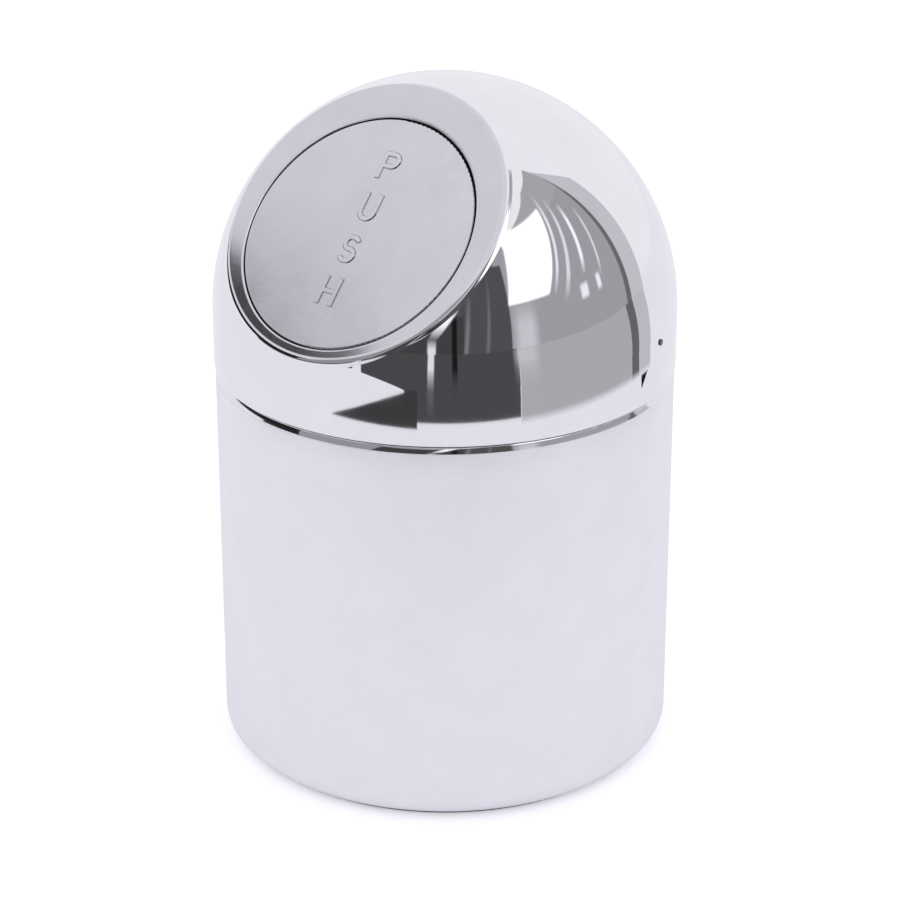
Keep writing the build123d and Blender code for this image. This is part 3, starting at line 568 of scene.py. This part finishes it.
# Flap backing and knuckle bushes: a ribbed black moulding that carries the disc and turns
# on two nylon sleeves pressed in its knuckles.
backing_plastic = plastic(
    "backing_plastic", (0.018, 0.018, 0.019), (0.034, 0.034, 0.036), (0.10, 0.10, 0.10), 0.5, 2e-5
)
nylon = plastic("nylon", (0.66, 0.65, 0.60), (0.76, 0.75, 0.70), (0.82, 0.81, 0.77), 0.4, 1e-5)
dress("flap_backing", backing_plastic)
dress("knuckle_bushes", nylon)


# Studio: a plain pale floor, even soft light all round, and cards that only reflections see:
# a grey room with a window and curtains to the camera's right, and a dark floor past a white sheet.
# Cards glow, fade at their edges and hang over one another, the nearer in front.
def glow(tree, colour, strength):
    """An Emission shader."""
    node = tree.nodes.new("ShaderNodeEmission")
    node.inputs["Color"].default_value = (*colour, 1)
    node.inputs["Strength"].default_value = strength
    return node.outputs[0]


def card_paint(name, tint, strength, soft):
    """A glowing surface for a card, which fades out over a share of its width and height."""
    material = bpy.data.materials.new(name)
    material.use_nodes = True
    tree = material.node_tree
    tree.nodes.remove(tree.nodes["Principled BSDF"])
    place = tree.nodes.new("ShaderNodeUVMap")
    sides = tree.nodes.new("ShaderNodeSeparateXYZ")
    tree.links.new(place.outputs[0], sides.inputs[0])
    fades = []
    for side in ("X", "Y"):
        from_edge = math_node(tree, "PINGPONG", sides.outputs[side], 0.5)
        fades.append(map_range(tree, from_edge, 0.0, soft))
    mix = tree.nodes.new("ShaderNodeMixShader")
    clear = tree.nodes.new("ShaderNodeBsdfTransparent")
    tree.links.new(math_node(tree, "MULTIPLY", *fades), mix.inputs[0])
    tree.links.new(clear.outputs[0], mix.inputs[1])
    tree.links.new(glow(tree, tint, strength), mix.inputs[2])
    tree.links.new(mix.outputs[0], tree.nodes["Material Output"].inputs["Surface"])
    return material


ROOM_TINT = (0.95, 0.95, 1.0)
HARD = 0.004
CARD_COLUMNS = 24
CARD_ROWS = 12


def upright(turns, spans):
    """Corners of a card with upright sides."""
    return (turns[0], spans[0]), (turns[1], spans[0]), (turns[1], spans[1]), (turns[0], spans[1])


def sector(name, corners, place, tone, soft, tint):
    """A card as a grid between four corners, which place turns from (turn, span) into points."""
    low_left, low_right, high_right, high_left = [Vector(corner) for corner in corners]
    points, faces = [], []
    for row in range(CARD_ROWS + 1):
        left = low_left.lerp(high_left, row / CARD_ROWS)
        right = low_right.lerp(high_right, row / CARD_ROWS)
        for column in range(CARD_COLUMNS + 1):
            turn, span = left.lerp(right, column / CARD_COLUMNS)
            points.append(place(CAMERA_TURN + radians(turn), span))
    for row in range(CARD_ROWS):
        for column in range(CARD_COLUMNS):
            here = row * (CARD_COLUMNS + 1) + column
            there = here + CARD_COLUMNS + 1
            faces.append((here, here + 1, there + 1, there))
    card = shell(name, points, faces)
    layer = card.data.uv_layers.new(name="card")
    for loop in card.data.loops:
        row, column = divmod(loop.vertex_index, CARD_COLUMNS + 1)
        layer.data[loop.index].uv = (column / CARD_COLUMNS, row / CARD_ROWS)
    card.data.materials.append(card_paint(name, tint, tone, soft))
    card.visible_camera = False
    card.visible_diffuse = False
    card.visible_shadow = False
    card.visible_transmission = False


def wall_card(name, corners, distance, tone, soft=HARD, tint=ROOM_TINT):
    """A card that stands round the dome's centre: its corners are turns and rises in degrees."""
    def place(turn, rise):
        level, height = distance * cos(radians(rise)), distance * sin(radians(rise))
        return dome_centre + Vector((sin(turn) * level, -cos(turn) * level, height))
    sector(name, corners, place, tone, soft, tint)


def floor_card(name, corners, height, tone, soft=HARD):
    """A card that lies just over the floor: its corners are turns and reaches from the can's axis."""
    def place(turn, reach):
        return Vector((sin(turn) * reach, -cos(turn) * reach, height))
    sector(name, corners, place, tone, soft, ROOM_TINT)


FLOOR_SIZE = 12.0
FLOOR_GAP = 0.0001
floor = shell(
    "floor",
    [
        (-FLOOR_SIZE, -FLOOR_SIZE, 0),
        (FLOOR_SIZE, -FLOOR_SIZE, 0),
        (FLOOR_SIZE, FLOOR_SIZE, 0),
        (-FLOOR_SIZE, FLOOR_SIZE, 0),
    ],
    [(0, 1, 2, 3)],
)
floor.location.z = -FLOOR_GAP
floor_paint, floor_tree, floor_shader = new_material("floor_paint", 0.0, Roughness=0.9)
floor_shader.inputs["Base Color"].default_value = (0.86, 0.86, 0.88, 1)
floor_shader.inputs["Emission Color"].default_value = (0.97, 0.97, 1.0, 1)
floor_path = floor_tree.nodes.new("ShaderNodeLightPath")
floor_lift = map_range(floor_tree, floor_path.outputs["Is Camera Ray"], 0.0, 1.0, 0.08, 0.36)
floor_tree.links.new(floor_lift, floor_shader.inputs["Emission Strength"])
floor.data.materials.append(floor_paint)

world = bpy.data.worlds.new("soft_light")
world.use_nodes = True
bpy.context.scene.world = world
sky_tree = world.node_tree
sky = sky_tree.nodes["Background"]
sky.inputs["Color"].default_value = (0.965, 0.965, 1.0, 1)
sky_path = sky_tree.nodes.new("ShaderNodeLightPath")
sky_strength = map_range(sky_tree, sky_path.outputs["Is Camera Ray"], 0.0, 1.0, 0.94, 1.2)
sky_tree.links.new(sky_strength, sky.inputs["Strength"])
bpy.context.scene.view_settings.view_transform = "Standard"

# The room and its ceiling
wall_card("room_wall", upright((-42, 103), (-22, 46)), 3.0, 0.39)
wall_card("room_wall_high", ((38, 45.5), (103, 45.5), (103, 60), (78, 58)), 3.0, 0.43)
wall_card("room_ceiling", upright((-150, 36), (50, 88)), 3.2, 0.80, 0.02)
# What the slanted face mirrors, to the camera's left: a pale ceiling over grey and dark walls
wall_card("left_ceiling", upright((-150, -42), (30, 52)), 3.1, 0.76)
wall_card("left_shade", ((-97, 44.2), (-95, 43.6), (-90.6, 50), (-93, 51)), 3.05, 0.62, 0.45)
wall_card("left_wall", upright((-72, -30), (-8, 32)), 2.9, 0.34)
wall_card("left_dark", upright((-120, -72), (-15, 22)), 2.8, 0.02)
wall_card("left_corner", ((-97, 41.4), (-88.4, 42.2), (-89.6, 45.4), (-96, 43.2)), 2.8, 0.045)
# Behind the camera: dark furniture, pale streaks and a bright gap beside a door
wall_card("front_dark", upright((-80, -12), (-17, -8)), 2.8, 0.06)
wall_card("dark_corner", ((-42, -22), (9, -22), (9, 14), (-30, 14)), 2.7, 0.06)
wall_card("dark_wall", ((-4, -22), (32, -22), (32, 36), (10, 36)), 2.72, 0.09, 0.02)
wall_card("dark_streak", upright((3, 6), (-22, 20)), 2.66, 0.012, 0.2)
wall_card("pale_streak", ((7, -22), (10, -22), (14, 30), (11, 30)), 2.66, 0.22, 0.4)
wall_card("pale_streak_right", ((17, -22), (20, -22), (24, 34), (22, 34)), 2.66, 0.18, 0.4)
wall_card("door_gap", ((-8, -22), (-4.5, -22), (-3.5, 4), (-8.5, 4)), 2.6, 0.85, 0.2)
wall_card("door_gap_high", ((-8.5, 3), (-3.5, 3), (24, 39), (13, 39)), 2.6, 1.1, 0.2)
# The window with its glow on the wall, then the room's dark edge and the pale backdrop past it
wall_card("window", ((31, 16), (54, 16), (77, 50), (38, 49)), 2.6, 1.6, 0.05, (1, 1, 1))
wall_card("window_glow", upright((32, 46), (-22, 19)), 2.65, 0.66, 0.3)
wall_card("room_edge", ((96.5, -22), (102, -22), (103.4, 56), (102, 56)), 2.7, 0.16, 0.2)
wall_card("sweep_band", ((101.5, -22), (112, -22), (114, 40), (102.5, 58)), 2.72, 0.62)
# Curtain folds beside the window and two low panes: four corners and a tone each
CURTAIN_FOLDS = (
    ((55.5, 15), (57.5, 15), (83, 54), (80, 54), 0.95),
    ((60, 11), (63.5, 11), (87, 50), (84.5, 50), 0.85),
    ((75, 17), (78, 17), (91, 44), (88, 44), 1.1),
    ((85, 12), (87, 12), (97, 38), (95, 38), 0.8),
    ((70, 8), (76, 8), (77, 15), (71, 15), 1.0),
    ((81, 8), (84.5, 8), (85.5, 15), (82, 15), 1.0),
)
for count, (*corners, tone) in enumerate(CURTAIN_FOLDS):
    wall_card(f"curtain_fold_{count}", corners, 2.55, tone, 0.25)
# The dark floor past the white sheet, and what stands or shines on it
floor_card("floor_front", ((-14, 0.455), (34, 0.455), (34, 0.70), (-38, 0.70)), 0.0010, 0.075)
floor_card("floor_front_far", ((-38, 0.69), (34, 0.69), (34, 3.0), (-42, 3.0)), 0.0009, 0.075)
floor_card("floor_gap", upright((-8, -4.5), (0.455, 3.0)), 0.0014, 0.85, 0.2)
floor_card("floor_dark_streak", upright((3, 6), (0.46, 3.0)), 0.0014, 0.012, 0.2)
floor_card("floor_glow", upright((31, 45), (0.447, 3.0)), 0.0014, 0.62, 0.3)
floor_card("floor_side", upright((34, 97), (0.447, 3.0)), 0.0008, 0.46)
floor_card("floor_strip", upright((96.5, 102), (0.447, 3.0)), 0.0011, 0.15)
floor_card("floor_band", upright((101.5, 112), (0.447, 3.0)), 0.0009, 0.58)
floor_card("floor_left", upright((-95, -42), (0.75, 3.0)), 0.0010, 0.07)
floor_card("sheet_step", ((-52, 0.449), (-12, 0.447), (-12, 0.50), (-50, 0.452)), 0.0012, 0.05)
floor_card("clip", ((103.8, 0.429), (104.4, 0.429), (109.5, 0.446), (103.8, 0.446)), 0.0016, 0.01)
